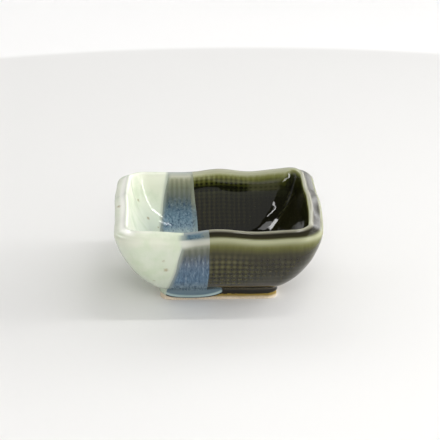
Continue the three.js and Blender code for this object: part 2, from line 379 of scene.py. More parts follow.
# The whole glaze as one closed skin, before it is parted at the dips
def buildSkin():
    places = quarterPlaces(meshSteps["straight"], meshSteps["corner"])
    columns = 4 * len(places)
    clay = glazedProfile()
    rings, at = resample(clay, meshSteps["ring"], passes=1)
    rings = fillHollow(rings, meshSteps["ring"])
    fromLip = at - at[np.argmax(rings[:, 2])]
    endTaper = np.clip((at[-1] - at) / dish["glazeEndTaper"], 0, 1)
    coat = thickened(rings, dish["glazeThickness"] * np.sqrt(1 - (1 - endTaper) ** 2))
    points = ringPoints(coat, places)
    normals = surfaceNormals(points)
    layRoll(points, normals)
    before, after = alongSide(coat, places)
    side = np.tile(np.where(places < 1.5, before, after), (1, 4))
    distance = np.broadcast_to(fromLip[:, None], side.shape)
    points += normals * reliefHeight(points, side, distance)[..., None]

    backRings, _ = resample(clay, meshSteps["backRing"])
    back = ringPoints(backRings, places)
    rows, backRows = len(rings), len(backRings)
    inner = rows * columns
    faces = gridFaces(rows, columns) + gridFaces(backRows, columns, inner, inward=True)
    lastOuter, lastInner = (rows - 1) * columns, inner + (backRows - 1) * columns
    middle, backMiddle = inner + backRows * columns, inner + backRows * columns + 1
    for j in range(columns):
        k = (j + 1) % columns
        faces.append((lastOuter + j, lastInner + j, lastInner + k, lastOuter + k))
        faces.append((middle, j, k))
        faces.append((backMiddle, inner + k, inner + j))
    middles = [[0, 0, coat[0, 2]], [0, 0, backRings[0, 2]]]
    allPoints = np.concatenate([points.reshape(-1, 3), back.reshape(-1, 3), middles])
    uvs = clothMap(sum(len(f) for f in faces), places, before, after, fromLip)
    print("glaze skin:", len(allPoints), "points,", len(faces), "faces")
    return allPoints, faces, uvs


def waver(point, dip):
    swing = math.sin(0.21 * point.y + 1.1) + 0.6 * math.sin(0.47 * point.z + 0.3)
    behind = 0.5 + 0.5 * math.tanh(point.y / 12)
    return dip["waver"] * swing + dip["lean"] * (point.z - leanLevel) * behind


# Cuts a closed mesh at a wavering dip edge and keeps one side of it
def partAtDip(bm, dip, keepGreenSide):
    for vert in bm.verts:
        vert.co.x -= waver(vert.co, dip)
    normal = Vector((1, -dip["perY"], -dip["perZ"])).normalized()
    cut = bmesh.ops.bisect_plane(
        bm, geom=bm.verts[:] + bm.edges[:] + bm.faces[:], dist=1e-6,
        plane_co=(dip["atOrigin"], 0, 0), plane_no=normal,
        clear_inner=keepGreenSide, clear_outer=not keepGreenSide,
    )
    edges = [item for item in cut["geom_cut"] if isinstance(item, bmesh.types.BMEdge)]
    filled = bmesh.ops.holes_fill(bm, edges=edges, sides=0)
    for face in filled["faces"]:
        face.smooth = False
    for edge in edges:
        edge.smooth = False
    bmesh.ops.triangulate(bm, faces=filled["faces"])
    for vert in bm.verts:
        vert.co.x += waver(vert.co, dip)


def glazePiece(name, skin, cuts):
    piece = meshObject(name, *skin)
    bm = bmesh.new()
    bm.from_mesh(piece.data)
    for dip, keepGreenSide in cuts:
        partAtDip(bm, dip, keepGreenSide)
    bmesh.ops.scale(bm, vec=(mm, mm, mm), verts=bm.verts[:])
    bm.to_mesh(piece.data)
    bm.free()
    print(name + ":", len(piece.data.polygons), "faces")
    return piece


# Shader helpers

def rgb(r, g, b):
    linear = [((c / 255 + 0.055) / 1.055) ** 2.4 if c > 10 else c / 255 / 12.92 for c in (r, g, b)]
    return tuple(linear) + (1.0,)


def plug(tree, node, inputs):
    for key, value in inputs.items():
        if isinstance(value, bpy.types.NodeSocket):
            tree.links.new(value, node.inputs[key])
        else:
            node.inputs[key].default_value = value


def addNode(tree, kind, inputs=None, **settings):
    node = tree.nodes.new(kind)
    for name, value in settings.items():
        setattr(node, name, value)
    plug(tree, node, inputs or {})
    return node


def useGroup(tree, group, inputs):
    node = tree.nodes.new("ShaderNodeGroup")
    node.node_tree = group
    plug(tree, node, inputs)
    return node.outputs


def calc(tree, operation, a, b=0.0, clamp=False):
    return addNode(tree, "ShaderNodeMath", {0: a, 1: b}, operation=operation, use_clamp=clamp).outputs[0]


# All the given masks and numbers multiplied with each other
def times(tree, first, *others):
    product = first
    for other in others:
        product = calc(tree, "MULTIPLY", product, other)
    return product


# How far a noise lies from its middle, times an amount
def swingOf(tree, noise, amount):
    return times(tree, calc(tree, "SUBTRACT", noise, 0.5), amount)


def between(tree, value, low, high, start=0.0, end=1.0):
    node = addNode(
        tree, "ShaderNodeMapRange",
        {"Value": value, "From Min": low, "From Max": high, "To Min": start, "To Max": end},
        interpolation_type="SMOOTHSTEP",
    )
    return node.outputs[0]


# 1 between two soft edges, each given as (from, to)
def span(tree, value, rise, fall):
    return times(tree, between(tree, value, *rise), between(tree, value, *fall))


def blend(tree, share, first, second, mode="MIX"):
    node = addNode(tree, "ShaderNodeMix", {0: share, 6: first, 7: second}, data_type="RGBA", blend_type=mode)
    return node.outputs[2]


def paint(tree, share, colour, tone):
    return blend(tree, share, colour, rgb(*tone))


def newGroup(name, inputs, outputs):
    tree = bpy.data.node_groups.new(name, "ShaderNodeTree")
    for socket, kind, value in inputs:
        made = tree.interface.new_socket(socket, in_out="INPUT", socket_type=kind)
        if value is not None:
            made.default_value = value
    for socket, kind in outputs:
        tree.interface.new_socket(socket, in_out="OUTPUT", socket_type=kind)
    return tree, tree.nodes.new("NodeGroupInput"), tree.nodes.new("NodeGroupOutput")


def noiseAt(tree, vector, scale, detail=3.0, roughness=0.55):
    return addNode(
        tree, "ShaderNodeTexNoise",
        {"Vector": vector, "Scale": scale, "Detail": detail, "Roughness": roughness},
    ).outputs[0]


# Distance from a dip's edge, in millimetres, towards the green side
def makeDipGroup():
    tree, entry, result = newGroup(
        "dipEdge",
        [("Position", "NodeSocketVector", None), ("Slope", "NodeSocketVector", None),
         ("AtOrigin", "NodeSocketFloat", 0.0)],
        [("Distance", "NodeSocketFloat")],
    )
    both = {0: entry.outputs["Position"], 1: entry.outputs["Slope"]}
    dot = addNode(tree, "ShaderNodeVectorMath", both, operation="DOT_PRODUCT").outputs["Value"]
    tree.links.new(calc(tree, "SUBTRACT", dot, entry.outputs["AtOrigin"]), result.inputs["Distance"])
    return tree


# Cloth print on the cloth map: Upright and Level are 1 on the threads and 0 in the gaps
def makeClothGroup():
    tree, entry, result = newGroup(
        "clothPrint",
        [("Cloth", "NodeSocketVector", None), ("Start", "NodeSocketVector", None),
         ("Across", "NodeSocketFloat", 2.0), ("Along", "NodeSocketFloat", 2.0),
         ("Sharpness", "NodeSocketFloat", 1.5), ("Wander", "NodeSocketFloat", 0.9)],
        [("Upright", "NodeSocketFloat"), ("Level", "NodeSocketFloat")],
    )
    cloth, start = entry.outputs["Cloth"], entry.outputs["Start"]
    noise = addNode(tree, "ShaderNodeTexNoise", {"Vector": cloth, "Scale": 0.16, "Detail": 3.0}).outputs[0]
    shift = swingOf(tree, noise, entry.outputs["Wander"])
    moved = addNode(tree, "ShaderNodeVectorMath", {0: cloth, 1: start}, operation="SUBTRACT")
    split = addNode(tree, "ShaderNodeSeparateXYZ", {0: moved.outputs[0]})
    for axis, spacing in enumerate(("Across", "Along")):
        place = calc(tree, "DIVIDE", calc(tree, "ADD", split.outputs[axis], shift), entry.outputs[spacing])
        wave = calc(tree, "COSINE", times(tree, place, 2 * math.pi))
        wave = times(tree, calc(tree, "ADD", wave, 1.0), 0.5)
        tree.links.new(calc(tree, "POWER", wave, entry.outputs["Sharpness"]), result.inputs[axis])
    return tree


# Streaks that run down the wall
def makeRunsGroup():
    tree, entry, result = newGroup(
        "glazeRuns",
        [("Cloth", "NodeSocketVector", None), ("Across", "NodeSocketFloat", 1.0),
         ("Along", "NodeSocketFloat", 0.2), ("Detail", "NodeSocketFloat", 4.0),
         ("Twist", "NodeSocketFloat", 0.0)],
        [("Runs", "NodeSocketFloat")],
    )
    split = addNode(tree, "ShaderNodeSeparateXYZ", {0: entry.outputs["Cloth"]})
    place = addNode(tree, "ShaderNodeCombineXYZ", {
        0: times(tree, split.outputs[0], entry.outputs["Across"]),
        1: times(tree, split.outputs[1], entry.outputs["Along"]),
    })
    noise = addNode(tree, "ShaderNodeTexNoise", {
        "Vector": place.outputs[0], "Scale": 1.0, "Detail": entry.outputs["Detail"],
        "Roughness": 0.6, "Distortion": entry.outputs["Twist"],
    })
    tree.links.new(noise.outputs[0], result.inputs["Runs"])
    return tree


# A small iron spot that bled into the glaze
def makeSpotGroup():
    tree, entry, result = newGroup(
        "ironSpot",
        [("Position", "NodeSocketVector", None), ("Centre", "NodeSocketVector", None),
         ("Radius", "NodeSocketFloat", 0.5)],
        [("Mask", "NodeSocketFloat")],
    )
    both = {0: entry.outputs["Position"], 1: entry.outputs["Centre"]}
    offset = addNode(tree, "ShaderNodeVectorMath", both, operation="DISTANCE").outputs["Value"]
    ragged = noiseAt(tree, entry.outputs["Position"], 1.3, 3.0)
    reach = calc(tree, "DIVIDE", offset, entry.outputs["Radius"])
    reach = calc(tree, "ADD", reach, swingOf(tree, ragged, 1.2))
    tree.links.new(between(tree, reach, 1.0, 0.1), result.inputs["Mask"])
    return tree


# The roll on the foot: colours, with a painted highlight on its rim and a painted shadow line under it, its
# lowest point, and where its parts lie by height above its lower end
rollLook = {
    "rimHighlight": (160, 180, 178), "body": (98, 118, 128), "line": (40, 44, 40),
    "lowest": 1.35, "tipRise": 1.9, "tipCurve": 2.6, "pastEnds": 1.0,
    "front": (-20.0, -21.5), "ends": (1.0, 0.93),
    "bodySpan": ((-0.1, 0.15), (3.4, 2.4)), "rimHighlightSpan": ((0.0, 0.3), (1.3, 0.7)), "lineBelow": (0.15, -0.05),
}


# The roll of glaze on the front of the foot: its body, the painted highlight on its rim and the painted
# shadow line under that
def makeRollGroup():
    tree, entry, result = newGroup(
        "glazeRoll",
        [("Position", "NodeSocketVector", None)],
        [("Body", "NodeSocketFloat"), ("RimHighlight", "NodeSocketFloat"), ("Line", "NodeSocketFloat")],
    )
    x, y, z = addNode(tree, "ShaderNodeSeparateXYZ", {0: entry.outputs["Position"]}).outputs[:3]
    fromCentre = calc(tree, "ABSOLUTE", calc(tree, "SUBTRACT", x, bead["centre"]))
    along = calc(tree, "DIVIDE", fromCentre, bead["halfLength"] + rollLook["pastEnds"])
    rise = times(tree, calc(tree, "POWER", along, rollLook["tipCurve"]), rollLook["tipRise"])
    height = calc(tree, "SUBTRACT", z, calc(tree, "ADD", rise, rollLook["lowest"]))
    within = times(tree, between(tree, along, *rollLook["ends"]), between(tree, y, *rollLook["front"]))
    body = times(tree, span(tree, height, *rollLook["bodySpan"]), within)
    rimHighlight = times(tree, span(tree, height, *rollLook["rimHighlightSpan"]), within)
    line = times(tree, between(tree, height, *rollLook["lineBelow"]), within)
    for name, mask in (("Body", body), ("RimHighlight", rimHighlight), ("Line", line)):
        tree.links.new(mask, result.inputs[name])
    return tree


groups = {
    "roll": makeRollGroup(),
    "dip": makeDipGroup(),
    "cloth": makeClothGroup(),
    "runs": makeRunsGroup(),
    "spot": makeSpotGroup(),
}
print("node groups made")


def newMaterial(name, **sockets):
    material = bpy.data.materials.new(name)
    material.use_nodes = True
    tree = material.node_tree
    shader = tree.nodes["Principled BSDF"]
    for key, value in sockets.items():
        shader.inputs[key.replace("_", " ")].default_value = value
    return material, tree, shader


# Colour by a distance in millimetres; the first of each pair is the distance
def colourRamp(tree, value, stops):
    low, high = stops[0][0], stops[-1][0]
    length = {"Value": value, "From Min": low, "From Max": high}
    share = addNode(tree, "ShaderNodeMapRange", length).outputs[0]
    node = addNode(tree, "ShaderNodeValToRGB", {0: share})
    band = node.color_ramp
    band.interpolation = "LINEAR"
    while len(band.elements) < len(stops):
        band.elements.new(0.5)
    for element, (place, colour) in zip(band.elements, stops):
        element.position = (place - low) / (high - low)
    for element, (place, colour) in zip(band.elements, stops):
        element.color = rgb(*colour)
    return node.outputs[0]


def inMillimetres(tree):
    position = addNode(tree, "ShaderNodeTexCoord").outputs["Object"]
    return addNode(tree, "ShaderNodeVectorMath", {0: position, 3: 1 / mm}, operation="SCALE").outputs[0]


# Places in millimetres and the cloth map, as every glaze uses them
def glazePlaces(tree):
    position = inMillimetres(tree)
    cloth = addNode(tree, "ShaderNodeUVMap", uv_map="cloth").outputs[0]
    x, y = addNode(tree, "ShaderNodeSeparateXYZ", {0: position}).outputs[:2]
    fromMiddle, fromLip = addNode(tree, "ShaderNodeSeparateXYZ", {0: cloth}).outputs[:2]
    return position, cloth, x, y, fromMiddle, fromLip


def dipEdge(tree, position, dip):
    return useGroup(tree, groups["dip"], {
        "Position": position, "Slope": (1.0, -dip["perY"], -dip["perZ"]), "AtOrigin": dip["atOrigin"],
    })[0]


# The print of one of the cloths: its upright and its level threads
def clothThreads(tree, cloth, weave):
    return useGroup(tree, groups["cloth"], {
        "Cloth": cloth, "Start": weave["start"] + (0.0,), "Across": weave["across"], "Along": weave["along"],
        "Sharpness": weave["sharpness"],
    })[:2]


# Noise drawn out along the wall: how fine it is across and along, its detail and its twist
def glazeRuns(tree, cloth, across, along, detail=4.0, twist=0.0):
    inputs = {"Cloth": cloth, "Across": across, "Along": along, "Detail": detail, "Twist": twist}
    return useGroup(tree, groups["runs"], inputs)[0]


# Places that all the glazes share, in millimetres from the lip's inner edge. Each pair is one soft
# edge, (from, to); the lip's face lies from 0 to 4.9, and distances inside the well are negative.
glazeZones = {
    "lipMiddle": 2.5, "offLip": (3.0, 6.0), "frontSide": (-28.0, -32.0),
    "sideLip": ((-1.6, -0.6), (6.5, 4.6)), "besideMiddle": (32.0, 35.0),
    "satin": 0.26, "gloss": 0.055,
    "lipFace": (150, 162, 156), "lipOuter": (204, 206, 194), "lipTurn": (3.6, 4.4),
}


def surfaceBump(tree, shader, height, strength, distance):
    bump = addNode(tree, "ShaderNodeBump", {"Height": height, "Strength": strength, "Distance": distance})
    tree.links.new(bump.outputs[0], shader.inputs["Normal"])


# How far the runs move the bands of colour down the wall; they leave the lip and the foot alone
def bandSwing(tree, runs, fromLip, look):
    offLip = calc(tree, "ABSOLUTE", calc(tree, "SUBTRACT", fromLip, glazeZones["lipMiddle"]))
    offLip = between(tree, offLip, *glazeZones["offLip"])
    return times(tree, swingOf(tree, runs, look["swing"]), offLip, between(tree, fromLip, *look["swingEnd"]))


# The thin coat on the lip at the two sides is less glossy than the rest
def lipRoughness(tree, shader, x, fromLip, satin=0.0):
    beside = between(tree, calc(tree, "ABSOLUTE", x), *glazeZones["besideMiddle"])
    lip = times(tree, span(tree, fromLip, *glazeZones["sideLip"]), beside)
    lip = calc(tree, "MAXIMUM", lip, satin)
    roughness = between(tree, lip, 0.0, 1.0, glazeZones["gloss"], glazeZones["satin"])
    tree.links.new(roughness, shader.inputs["Roughness"])


# Where the pale and the blue glaze meet on the front lip: blue-grey on its face, pale on its outer edge
def frontLipEdge(tree, fromLip):
    outer = between(tree, fromLip, *glazeZones["lipTurn"])
    return blend(tree, outer, rgb(*glazeZones["lipFace"]), rgb(*glazeZones["lipOuter"]))


# The colours of the roll, with its painted highlight and painted shadow, over those of the coat that it lies
# on
def rollColours(tree, position, colour):
    body, rimHighlight, line = useGroup(tree, groups["roll"], {"Position": position})[:3]
    colour = paint(tree, body, colour, rollLook["body"])
    colour = paint(tree, rimHighlight, colour, rollLook["rimHighlight"])
    return paint(tree, line, colour, rollLook["line"])


# Green glaze: black-green where thick, olive near the lip, and pale on the lip's edges, partly thin coat and
# partly painted highlight.
# Bands run from deep in the well (negative) over the lip (0 to 4.9) down to the foot (39.5).
greenLook = {
    "bands": [
        (-28, (16, 15, 6)), (-12.5, (23, 23, 11)), (-10.4, (32, 33, 18)), (-9, (37, 39, 23)),
        (-7.4, (40, 42, 16)), (-6, (64, 67, 24)), (-4.3, (100, 102, 50)), (-3.2, (130, 132, 75)),
        (-2.4, (148, 150, 98)),
        # the pale stops from -1.4 to -0.3 and from 4.4 to 5.0, the lip's two edges, are thin coat with
        # painted highlight
        (-1.4, (192, 193, 160)), (-0.3, (178, 177, 156)), (0.4, (134, 132, 115)), (0.8, (98, 96, 82)),
        (1.1, (58, 55, 44)), (1.6, (38, 36, 27)), (3.4, (50, 48, 30)), (4.0, (104, 105, 76)),
        (4.4, (152, 154, 122)), (5.0, (160, 162, 130)), (5.8, (132, 133, 96)), (6.6, (108, 109, 66)),
        (7.5, (90, 90, 42)), (8.9, (72, 71, 34)), (10.3, (54, 52, 28)), (12.3, (40, 37, 22)),
        # 36: a painted highlight where the wall turns under to the foot
        (15, (33, 30, 16)), (31, (14, 12, 4)), (34.8, (56, 53, 38)), (36, (78, 74, 58)),
        (37.2, (56, 52, 40)), (38.1, (18, 13, 10)), (39.5, (40, 33, 14)),
    ],
    "runs": (0.7, 0.05), "swing": 2.2, "swingEnd": (34.0, 31.0),
    "swellScale": 0.12, "bump": (0.1, 0.0004),

    # the right wall, where the bands are narrow
    "rightWall": (29.0, 33.0), "underLip": (0.1, -0.4), "narrower": 1.9,
    "belowLip": (50, 51, 22), "belowLipSpan": ((-2.0, -3.0), (-10.0, -5.0, 0.0, 0.6)),

    # inside: dark gaps between the threads, deepest in the rows of pits under the lip
    "column": (0.3, 0.3, 0.22, 1.0), "columnShare": 0.6, "lineShare": 0.35,
    "strongSide": (-17.0, -10.0, 0.35, 1.0), "bandSpan": ((-2.0, -3.2), (-9.4, -8.4, 0.3, 1.0)),
    "pit": (12, 12, 3), "pitShare": 1.3, "pitSpan": ((-9.2, -8.6), (-2.8, -7.6, 0.0, 1.0)),
    "lowRowSpan": ((-8.3, -7.7), (-6.0, -6.9)), "lowRowSide": (-10.5, -8.0, 0.0, 0.65),
    "far": (80, 80, 54), "farFrom": (-13.0, -15.5), "farCorner": (28.0, 25.0, 0.0, 0.85),
    "farSpan": ((-4.3, -5.2), (-9.4, -8.2)),
    "traceSpan": ((-8.2, -9.2), (-27.0, -22.0)), "traceSide": (-24.0, 1.0, 0.04, 0.2),
    "traceRuns": (0.35, 0.6, 0.5, 1.0), "traceUpright": 0.65, "traceLevel": 0.35,

    # outside: a pale lattice of threads that fades to the right
    "thread": (96, 93, 56), "gap": (28, 26, 12), "gapShare": 0.42,
    "upright": 0.3, "level": 0.34, "crossing": 0.2,
    "latticeSpan": ((7.5, 16.0), (33.0, 30.0)), "latticeSide": (16.0, 1.0, 0.4, 1.0),
    "latticeCorner": (34.0, 24.0, 0.2, 1.0), "latticeDrift": (0.3, 0.6, 0.45, 1.0), "driftScale": 0.06,

    "lap": (74, 80, 80), "lapEdge": (0.9, 0.1), "lapFrom": (9.0, 14.0, 0.0, 0.4),
}


# The threads that show through the deep green on the back wall, faint and broken by the runs
def threadTrace(tree, runs, upright, level, fromMiddle, fromLip):
    weave = times(tree, upright, greenLook["traceUpright"])
    weave = calc(tree, "ADD", weave, times(tree, level, greenLook["traceLevel"]))
    nearBlue = between(tree, fromMiddle, *greenLook["traceSide"])
    broken = between(tree, runs, *greenLook["traceRuns"])
    return times(tree, span(tree, fromLip, *greenLook["traceSpan"]), nearBlue, broken, weave)


def greenInside(tree, colour, upright, level, x, fromMiddle, fromLip):
    look = greenLook
    gap, row = calc(tree, "SUBTRACT", 1.0, upright), calc(tree, "SUBTRACT", 1.0, level)
    strong = between(tree, fromMiddle, *look["strongSide"])
    inBand = times(tree, strong, span(tree, fromLip, *look["bandSpan"]))
    colour = blend(tree, times(tree, gap, inBand, look["columnShare"]), colour, look["column"], "MULTIPLY")
    colour = blend(tree, times(tree, row, inBand, look["lineShare"]), colour, look["column"], "MULTIPLY")
    far = times(tree, between(tree, fromMiddle, *look["farFrom"]), between(tree, x, *look["farCorner"]))
    colour = paint(tree, times(tree, far, span(tree, fromLip, *look["farSpan"])), colour, look["far"])
    pits = times(tree, gap, row, strong, span(tree, fromLip, *look["pitSpan"]), look["pitShare"])
    lowRow = times(
        tree, span(tree, fromLip, *look["lowRowSpan"]), between(tree, fromMiddle, *look["lowRowSide"]),
    )
    pits = calc(tree, "MINIMUM", calc(tree, "MAXIMUM", pits, lowRow), 1.0)
    return paint(tree, pits, colour, look["pit"])


def greenOutside(tree, colour, position, cloth, fromMiddle, fromLip, trace):
    look = greenLook
    upright, level = clothThreads(tree, cloth, clothOutside)
    lattice = calc(tree, "ADD", times(tree, upright, look["upright"]), times(tree, level, look["level"]))
    lattice = calc(tree, "ADD", lattice, times(tree, upright, level, look["crossing"]), clamp=True)
    shown = times(
        tree, span(tree, fromLip, *look["latticeSpan"]), between(tree, fromMiddle, *look["latticeSide"]),
        between(tree, fromMiddle, *look["latticeCorner"]),
        between(tree, noiseAt(tree, position, look["driftScale"], 2.0), *look["latticeDrift"]),
    )
    gaps = times(tree, calc(tree, "SUBTRACT", 1.0, lattice), shown, look["gapShare"])
    colour = paint(tree, gaps, colour, look["gap"])
    threads = calc(tree, "ADD", times(tree, lattice, shown), trace, clamp=True)
    return paint(tree, threads, colour, look["thread"])


def makeGreenGlaze():
    look = greenLook
    material, tree, shader = newMaterial("greenGlaze", IOR=1.43)
    position, cloth, x, _, fromMiddle, fromLip = glazePlaces(tree)
    runs = glazeRuns(tree, cloth, *look["runs"])
    thin = times(tree, between(tree, x, *look["rightWall"]), between(tree, fromLip, *look["underLip"]))
    place = calc(tree, "ADD", fromLip, bandSwing(tree, runs, fromLip, look))
    place = calc(tree, "ADD", place, times(tree, fromLip, thin, look["narrower"]))
    colour = colourRamp(tree, place, look["bands"])
    belowLip = times(tree, span(tree, fromLip, *look["belowLipSpan"]), thin)
    colour = paint(tree, belowLip, colour, look["belowLip"])
    upright, level = clothThreads(tree, cloth, clothInside)
    colour = greenInside(tree, colour, upright, level, x, fromMiddle, fromLip)
    trace = threadTrace(tree, runs, upright, level, fromMiddle, fromLip)
    colour = greenOutside(tree, colour, position, cloth, fromMiddle, fromLip, trace)
    lap = times(
        tree, between(tree, dipEdge(tree, position, greenDip), *look["lapEdge"]),
        between(tree, fromLip, *look["lapFrom"]),
    )
    colour = rollColours(tree, position, paint(tree, lap, colour, look["lap"]))
    tree.links.new(colour, shader.inputs["Base Color"])
    lipRoughness(tree, shader, x, fromLip)
    surfaceBump(tree, shader, noiseAt(tree, position, look["swellScale"], 2.0), *look["bump"])
    return material


# Blue glaze, where the two dips lap: milky runs on deep blue, grey-olive near the lip, pale on the lip's
# edges, partly thin coat and partly painted highlight
blueLook = {
    "bands": [
        (-28, (166, 184, 186)), (-26, (158, 177, 180)), (-24, (118, 143, 158)), (-20, (98, 127, 144)),
        (-17, (86, 113, 130)), (-14, (84, 104, 110)), (-11, (94, 104, 98)), (-8, (114, 120, 105)),
        (-5.5, (139, 143, 121)), (-4, (148, 150, 125)), (-2.8, (168, 169, 144)), (-1.6, (208, 208, 191)),
        (0.5, (140, 150, 152)), (1.4, (96, 122, 134)), (3.3, (100, 122, 130)), (4.1, (148, 156, 152)),
        (4.8, (180, 182, 170)), (5.6, (178, 179, 166)), (6.8, (134, 137, 122)), (8.2, (108, 112, 97)),
        (10.4, (91, 96, 90)), (12.4, (87, 95, 100)), (15, (94, 108, 124)), (20, (84, 109, 131)),
        (27, (80, 112, 138)), (33, (118, 138, 150)), (36.2, (110, 128, 138)), (39.5, (98, 118, 124)),
    ],
    "runs": (0.9, 0.14, 4.0, 0.3), "swing": 2.4, "swingEnd": (36.0, 33.5),
    "swellScale": 0.2, "bump": (0.08, 0.0003),

    # the body of the blue: milky streaks outside and mottle inside, over deep blue
    "streaks": (1.35, 0.3, 4.0, 0.5), "mottle": (1.0, 0.75, 3.5, 0.8), "inside": (4.5, 3.5),
    "bodyOutside": (9.0, 14.0), "bodyInside": (-9.0, -15.0), "bodyEnd": (38.0, 36.5, 0.1, 1.0),
    "milk": (152, 170, 182), "milkFrom": (0.52, 0.7), "milkShare": 0.5,
    "deep": (38, 62, 92), "deepFrom": (0.5, 0.36), "deepShare": 0.7,
    "deepOnFloor": (-29.0, -23.0, 0.25, 1.0),

    # the front lip, where the blue gathers in a mottled patch
    "patchSpan": ((-14.6, -11.8), (-5.4, -8.0)), "patchRagged": 5.0,
    "thinLip": (134, 138, 126), "thinSpan": ((0.5, 1.1), (4.4, 3.8)), "thinShare": 0.65,
    "darkFrom": (0.5, 0.38), "darkSpan": ((0.8, 1.4, 0.0, 0.5), (4.2, 3.6)),

    # gaps of the cloth print near the lip
    "column": (0.55, 0.56, 0.5, 1.0), "columnShare": 0.55,
    "innerSpan": ((-2.0, -3.4), (-20.0, -12.0)), "outerSpan": ((6.0, 9.0), (18.0, 13.0)),

    # the two borders: a fringe towards the pale side and a lap streak towards the green one
    "ragged": 1.2, "fringe": (150, 158, 148), "fringeEdge": (2.0, -0.2), "fringeShare": 0.85,
    "fringeOutside": (5.5, 8.0), "fringeInside": (0.0, -1.0),
    "lipSpan": ((0.4, 1.0), (8.0, 5.5)), "lipReach": (3.6, 4.4, 1.9, 5.5),
    "lipEdge": (1.0, -0.1, 0.0, 0.95),
    "lap": (142, 147, 126), "lapEdge": (-2.0, -0.8), "lapInside": (0.0, -1.5, 0.0, 0.8),
    "lapDeep": (-19.0, -11.0, 0.3, 1.0),
}


# Milky streaks and deep blue in the body of the glaze
def blueBody(tree, colour, fine, fromLip):
    look = blueLook
    outside, inside = (between(tree, fromLip, *look[part]) for part in ("bodyOutside", "bodyInside"))
    body = calc(tree, "MAXIMUM", outside, inside)
    body = times(tree, body, between(tree, fromLip, *look["bodyEnd"]))
    milk = times(tree, between(tree, fine, *look["milkFrom"]), body, look["milkShare"])
    deep = times(
        tree, between(tree, fine, *look["deepFrom"]), body, between(tree, fromLip, *look["deepOnFloor"]),
        look["deepShare"],
    )
    return paint(tree, deep, paint(tree, milk, colour, look["milk"]), look["deep"])


# The front lip: a mottled patch of blue with a thinner coat beside it
def blueFrontLip(tree, colour, mottle, x, y, fromLip):
    look = blueLook
    patch = span(tree, calc(tree, "ADD", x, swingOf(tree, mottle, look["patchRagged"])), *look["patchSpan"])
    thin = times(
        tree, calc(tree, "SUBTRACT", 1.0, patch), between(tree, y, *glazeZones["frontSide"]),
        span(tree, fromLip, *look["thinSpan"]), look["thinShare"],
    )
    dark = times(tree, between(tree, mottle, *look["darkFrom"]), patch)
    dark = times(tree, dark, span(tree, fromLip, *look["darkSpan"]))
    return paint(tree, dark, paint(tree, thin, colour, look["thinLip"]), look["deep"])


# The borders towards the pale side, on the wall and on the front lip, and towards the green side
def blueBorders(tree, colour, position, fine, y, fromLip):
    look = blueLook
    toPale = dipEdge(tree, position, paleDip)
    ragged = swingOf(tree, fine, look["ragged"])
    outside, inside = (between(tree, fromLip, *look[part]) for part in ("fringeOutside", "fringeInside"))
    offRim = calc(tree, "MAXIMUM", outside, inside)
    fringe = between(tree, calc(tree, "ADD", toPale, ragged), *look["fringeEdge"])
    colour = paint(tree, times(tree, fringe, offRim, look["fringeShare"]), colour, look["fringe"])
    reach = between(tree, fromLip, *look["lipReach"])
    onLip = times(
        tree, span(tree, fromLip, *look["lipSpan"]), between(tree, y, *glazeZones["frontSide"]),
        between(tree, calc(tree, "DIVIDE", toPale, reach), *look["lipEdge"]),
    )
    colour = blend(tree, onLip, colour, frontLipEdge(tree, fromLip))
    toGreen = calc(tree, "ADD", dipEdge(tree, position, greenDip), ragged)
    lap = times(
        tree, between(tree, toGreen, *look["lapEdge"]), between(tree, fromLip, *look["lapInside"]),
        between(tree, fromLip, *look["lapDeep"]),
    )
    return paint(tree, lap, colour, look["lap"])


def makeBlueGlaze():
    look = blueLook
    material, tree, shader = newMaterial("blueGlaze", Roughness=0.06, IOR=1.5)
    position, cloth, x, y, _, fromLip = glazePlaces(tree)
    runs = glazeRuns(tree, cloth, *look["runs"])
    streaks = glazeRuns(tree, cloth, *look["streaks"])
    mottle = glazeRuns(tree, cloth, *look["mottle"])
    change = times(tree, calc(tree, "SUBTRACT", mottle, streaks), between(tree, fromLip, *look["inside"]))
    fine = calc(tree, "ADD", streaks, change)
    place = calc(tree, "ADD", fromLip, bandSwing(tree, runs, fromLip, look))
    colour = blueBody(tree, colourRamp(tree, place, look["bands"]), fine, fromLip)
    colour = blueFrontLip(tree, colour, mottle, x, y, fromLip)
    columns = []
    for weave, reach in ((clothInside, look["innerSpan"]), (clothOutside, look["outerSpan"])):
        gap = calc(tree, "SUBTRACT", 1.0, clothThreads(tree, cloth, weave)[0])
        columns.append(times(tree, gap, span(tree, fromLip, *reach)))
    gaps = times(tree, calc(tree, "ADD", *columns), look["columnShare"])
    colour = blend(tree, gaps, colour, look["column"], "MULTIPLY")
    colour = blueBorders(tree, colour, position, fine, y, fromLip)
    tree.links.new(rollColours(tree, position, colour), shader.inputs["Base Color"])
    swell = noiseAt(tree, position, look["swellScale"], 2.0)
    surfaceBump(tree, shader, calc(tree, "ADD", swell, fine), *look["bump"])
    return material


